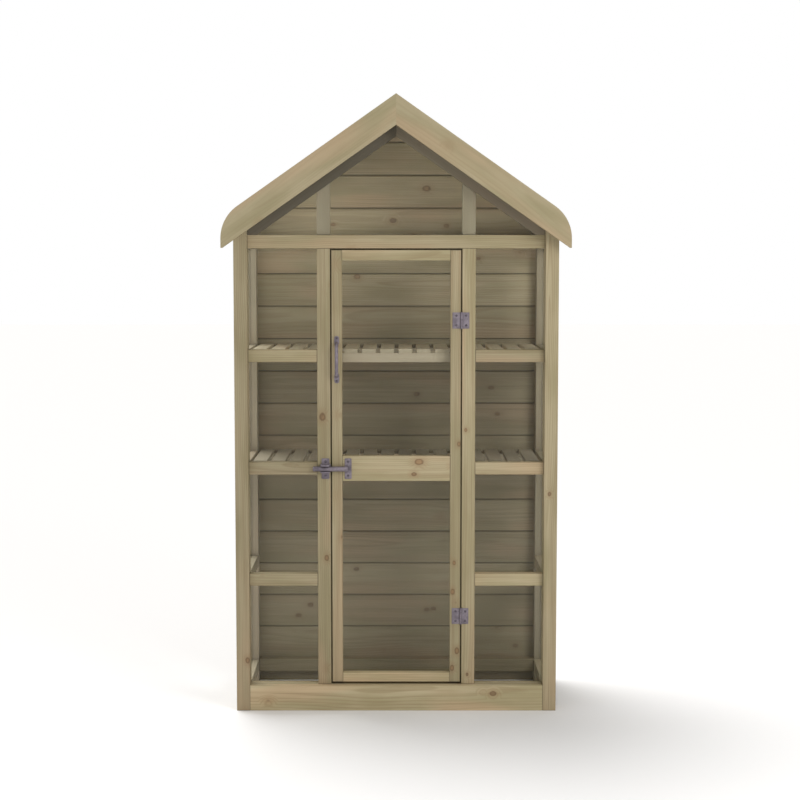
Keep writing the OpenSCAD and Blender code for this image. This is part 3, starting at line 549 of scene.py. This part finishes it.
# Radius and height of a round-headed screw, from the top of its head to its point
SCREW_HEAD = 1.87e-3
SCREW_PROFILE = ((0, SCREW_HEAD), (1.1e-3, 1.80e-3), (2.1e-3, 1.55e-3), (2.9e-3, 1.1e-3),
                 (3.4e-3, 0.6e-3), (3.6e-3, 0.1e-3), (3.5e-3, 0), (1.9e-3, 0), (1.9e-3, -16e-3),
                 (0, -18e-3))
SCREW_SIDES = 32
SCREW_REACH = 0.008
CROSS_LENGTH = 4.4e-3
CROSS_WIDTH = 1.1e-3
CROSS_MIDDLE = 1.75e-3
CROSS_DEPTH = 2.0e-3
CROSS_TAPER = 0.55
NAIL_SIDES = 16

# Nails of the back boards: their distance from the middle, half their gap, and the ends
BOARD_NAIL_X = 0.479
BOARD_NAIL_LIFT = 0.028
BOARD_NAIL_LOW = 0.01
BOARD_NAIL_HIGH = 1.52

# Nails of the slats: the middles of the bearers, and half the gap of a pair
SLAT_NAIL_YS = (-0.0975, 0.1965)
SLAT_NAIL_SIDE = 0.011

# Nails of the felt: the row at the eaves, and the distance from the front and back edges
CLOUT_EAVES = 0.470
CLOUT_EDGE = 0.012


def turned(bm, profile, sides):
    """Adds a closed solid turned round Z, from radius and height pairs that start and end at 0."""
    rings = []
    for radius, height in profile:
        if radius == 0:
            rings.append([bm.verts.new((0, 0, height))] * sides)
        else:
            angles = [2 * math.pi * i / sides for i in range(sides)]
            rings.append([bm.verts.new((radius * math.cos(a), radius * math.sin(a), height))
                          for a in angles])
    for upper, lower in zip(rings, rings[1:]):
        for i in range(sides):
            corners = [upper[i - 1], lower[i - 1], lower[i], upper[i]]
            unique = list(dict.fromkeys(corners))
            bm.faces.new(unique)


def screw_mesh():
    """A round-headed screw with a cross recess, its head's underside at Z 0."""
    bm = bmesh.new()
    turned(bm, SCREW_PROFILE, SCREW_SIDES)
    head = bpy.data.meshes.new("screw")
    bm.to_mesh(head)
    bm.free()
    bm = bmesh.new()
    for length, width in ((CROSS_LENGTH, CROSS_WIDTH), (CROSS_WIDTH, CROSS_LENGTH)):
        bar = bmesh.ops.create_cube(bm, size=1.0)["verts"]
        for vert in bar:
            taper = 1.0 if vert.co.z > 0 else CROSS_TAPER
            vert.co = (vert.co.x * length * taper, vert.co.y * width * taper,
                       CROSS_MIDDLE + vert.co.z * CROSS_DEPTH)
    cross = bpy.data.meshes.new("cross")
    bm.to_mesh(cross)
    bm.free()
    body = bpy.data.objects.new("screw", head)
    cutter = bpy.data.objects.new("cross", cross)
    for made in (body, cutter):
        scene.collection.objects.link(made)
    cut = body.modifiers.new("cross", "BOOLEAN")
    cut.object = cutter
    cut.operation = "DIFFERENCE"
    cut.solver = "EXACT"
    cut.use_self = True
    graph = bpy.context.evaluated_depsgraph_get()
    done = bpy.data.meshes.new_from_object(body.evaluated_get(graph))
    for made in (body, cutter):
        bpy.data.objects.remove(made)
    return done


def nail_mesh(head, proud, length):
    """A flat-headed nail whose head stands a little proud of Z 0."""
    bm = bmesh.new()
    shank = head * 0.17
    turned(bm, [(0, proud), (head * 0.30, proud * 0.98), (head * 0.44, proud * 0.75),
                (head * 0.5, proud * 0.2), (head * 0.49, -proud * 0.6), (shank, -proud),
                (shank, -length), (0, -length - shank)], NAIL_SIDES)
    mesh = bpy.data.meshes.new("nail")
    bm.to_mesh(mesh)
    bm.free()
    return mesh


def fasten(name, mesh, places, body, material, replaced=None):
    """One piece of many fasteners. Each place is a point, an outward direction and a turn."""
    bm = bmesh.new()
    for point, outward, turn in places:
        aim = Vector(outward).to_track_quat("Z", "Y") @ Quaternion((0, 0, 1), turn)
        matrix = Matrix.Translation(point) @ aim.to_matrix().to_4x4()
        start = len(bm.verts)
        bm.from_mesh(mesh)
        bm.verts.ensure_lookup_table()
        bmesh.ops.transform(bm, matrix=matrix, verts=bm.verts[start:])
    whole = bpy.data.meshes.new(name)
    bm.to_mesh(whole)
    bm.free()
    whole.polygons.foreach_set("use_smooth", [True] * len(whole.polygons))
    whole.set_sharp_from_angle(angle=math.radians(35))
    whole.materials.append(material)
    piece = bpy.data.objects.new(name, whole)
    scene.collection.objects.link(piece)
    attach(piece, body)
    if replaced:
        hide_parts(replaced)


def screw_places(node):
    """Where the head of each CAD screw of a node sits on its plate, facing the front."""
    groups = []
    for vertex in NODES[node].data.vertices:
        for group in groups:
            away = max(abs(vertex.co.x - group[0].x), abs(vertex.co.z - group[0].z))
            if away < SCREW_REACH:
                group.append(vertex.co)
                break
        else:
            groups.append([vertex.co])
    places = []
    for i, group in enumerate(groups):
        xs, ys, zs = zip(*group)
        middle = Vector(((min(xs) + max(xs)) / 2, min(ys) + SCREW_HEAD, (min(zs) + max(zs)) / 2))
        places.append((middle, (0, -1, 0), 0.35 + 1.9 * i))
    return places


SCREW = screw_mesh()
# Zinc darkened to a tone of 0.6 all over, for the screws and nails
DARKENED_ZINC = zinc("zinc_screws", 5.1, 0.60)
fasten("frame_screw_set", SCREW, screw_places("frame_screws"), "greenhouse", DARKENED_ZINC, "frame_screws")
fasten("door_screw_set", SCREW, screw_places("door_screws"), "door", DARKENED_ZINC, "door_screws")


def spread(low, high, count):
    """Evenly spaced values, with both ends."""
    return [low + (high - low) * i / (count - 1) for i in range(count)]


def place_nails():
    """Nails that hold the back boards, the slats and the felt."""
    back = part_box("back_boards")[1][1]
    boards = []
    for i in range(BOARD_COUNT):
        for lift in (-BOARD_NAIL_LIFT, BOARD_NAIL_LIFT):
            z = LOWEST_JOINT + (i - 0.5) * BOARD_PITCH + lift
            for side in (-1, 1):
                if BOARD_NAIL_LOW < z < BOARD_NAIL_HIGH:
                    boards.append(((side * BOARD_NAIL_X, back, z), (0, 1, 0), 0))
    fasten("board_nails", nail_mesh(0.0065, 0.0004, 0.03), boards, "greenhouse", DARKENED_ZINC)

    slats = []
    for shelf in ("upper_shelf_slats", "lower_shelf_slats"):
        low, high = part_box(shelf)
        for i in range(int((high[0] - low[0]) / SLAT_PITCH) + 1):
            x = low[0] + SLAT_WIDTH / 2 + i * SLAT_PITCH
            for y in SLAT_NAIL_YS:
                for across in (-SLAT_NAIL_SIDE, SLAT_NAIL_SIDE):
                    slats.append(((x + across, y, high[2]), (0, 0, 1), 0))
    fasten("slat_nails", nail_mesh(0.0045, 0.0003, 0.02), slats, "greenhouse", DARKENED_ZINC)

    felt_low, felt_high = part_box("roof_felt")
    slope = math.tan(ROOF_PITCH)
    clouts = []
    for side in (-1, 1):
        outward = (side * math.sin(ROOF_PITCH), 0, math.cos(ROOF_PITCH))
        for y in spread(felt_low[1] + CLOUT_EDGE, felt_high[1] - CLOUT_EDGE, 7):
            height = felt_high[2] - CLOUT_EAVES * slope
            clouts.append(((side * CLOUT_EAVES, y, height), outward, 0))
        for x in spread(0.02, 0.395, 6):
            for y in (felt_low[1] + CLOUT_EDGE, felt_high[1] - CLOUT_EDGE):
                clouts.append(((side * x, y, felt_high[2] - x * slope), outward, 0))
    fasten("felt_clouts", nail_mesh(0.009, 0.0007, 0.015), clouts, "greenhouse", DARKENED_ZINC)


place_nails()


# Floor

FLOOR_REACH = 30
FLOOR_LEVEL = 0.88
FLOOR_GRIT = 0.01
FLOOR_SEEN = 0.035
FLOOR_BLUE = 1.015


def make_floor():
    """A pale floor, a little lighter to the camera than to the rest of the light."""
    mesh = bpy.data.meshes.new("floor")
    bm = bmesh.new()
    bmesh.ops.create_grid(bm, x_segments=1, y_segments=1, size=FLOOR_REACH)
    bm.to_mesh(mesh)
    bm.free()
    floor = bpy.data.objects.new("floor", mesh)
    scene.collection.objects.link(floor)
    g = Graph("studio_floor")
    mesh.materials.append(g.material)
    grit = g.noise(g.node("TexCoord").outputs["Object"], 40.0, 2.0)
    level = g.math("MULTIPLY_ADD", grit, FLOOR_GRIT, FLOOR_LEVEL)
    seen = g.node("LightPath").outputs["Is Camera Ray"]
    level = g.math("MULTIPLY", level, g.math("MULTIPLY_ADD", seen, FLOOR_SEEN, 1.0))
    white = g.join(level, level, g.math("MULTIPLY", level, FLOOR_BLUE))
    matt = g.node("BsdfDiffuse", {"Color": white}).outputs[0]
    g.tree.links.new(matt, g.output.inputs[0])


# Light

ROOM_LIGHT = 0.50
ROOM_COLOUR = (1, 0.99, 0.955, 1)
SEEN_COLOUR = (1, 1, 1, 1)
KEY_PLACE = (-0.52, 0.60, 1.00)
KEY_LIGHT = 2.4
KEY_SPREAD = math.radians(52)
KEY_COLOUR = (1.0, 0.985, 0.96)
FILL_PLACE = (1.9, -2.7, 2.3)
FILL_TARGET = (0, 0, 0.9)
FILL_LIGHT = 37.5
FILL_SIZE = 1.4
FILL_COLOUR = (1.0, 0.99, 0.975)


def add_lamp(kind, name, place, target, energy, **settings):
    """A lamp at a place, aimed at a target."""
    lamp = bpy.data.lights.new(name, kind)
    lamp.energy = energy
    for key, value in settings.items():
        setattr(lamp, key, value)
    made = bpy.data.objects.new(name, lamp)
    scene.collection.objects.link(made)
    made.location = place
    travel = Vector(target) - Vector(place)
    made.rotation_euler = travel.to_track_quat("-Z", "Y").to_euler()


def make_light():
    """A room that looks white and lights at half of that, a broad sun from behind on the left,
    and a square lamp in front on the right.
    """
    world = bpy.data.worlds.new("studio")
    scene.world = world
    world.use_nodes = True
    tree = world.node_tree
    tree.nodes.clear()
    path = tree.nodes.new("ShaderNodeLightPath")
    seen = path.outputs["Is Camera Ray"]
    for ray in ("Is Glossy Ray", "Is Transmission Ray"):
        either = tree.nodes.new("ShaderNodeMath")
        either.operation = "MAXIMUM"
        tree.links.new(seen, either.inputs[0])
        tree.links.new(path.outputs[ray], either.inputs[1])
        seen = either.outputs[0]
    mix = tree.nodes.new("ShaderNodeMixShader")
    tree.links.new(seen, mix.inputs[0])
    for socket, strength, colour in ((1, ROOM_LIGHT, ROOM_COLOUR), (2, 1.0, SEEN_COLOUR)):
        wall = tree.nodes.new("ShaderNodeBackground")
        wall.inputs["Color"].default_value = colour
        wall.inputs["Strength"].default_value = strength
        tree.links.new(wall.outputs[0], mix.inputs[socket])
    out = tree.nodes.new("ShaderNodeOutputWorld")
    tree.links.new(mix.outputs[0], out.inputs[0])

    add_lamp("SUN", "key", KEY_PLACE, (0, 0, 0), KEY_LIGHT, angle=KEY_SPREAD, color=KEY_COLOUR)
    add_lamp("AREA", "fill", FILL_PLACE, FILL_TARGET, FILL_LIGHT, shape="SQUARE", size=FILL_SIZE,
             color=FILL_COLOUR)


# Camera

FOCAL_LENGTH = 75.1
SENSOR_WIDTH = 36
CAMERA_PLACE = (0.0117, -5.3117, 1.4184)
CAMERA_DIP = 4.897


def make_camera():
    """A camera before the door that looks a little down, by CAMERA_DIP degrees."""
    lens = bpy.data.cameras.new("camera")
    lens.lens = FOCAL_LENGTH
    lens.sensor_width = SENSOR_WIDTH
    camera = bpy.data.objects.new("camera", lens)
    scene.collection.objects.link(camera)
    camera.location = CAMERA_PLACE
    camera.rotation_euler = (math.radians(90 - CAMERA_DIP), 0, 0)
    scene.camera = camera


make_floor()
make_light()
make_camera()
scene.view_settings.view_transform = "Standard"
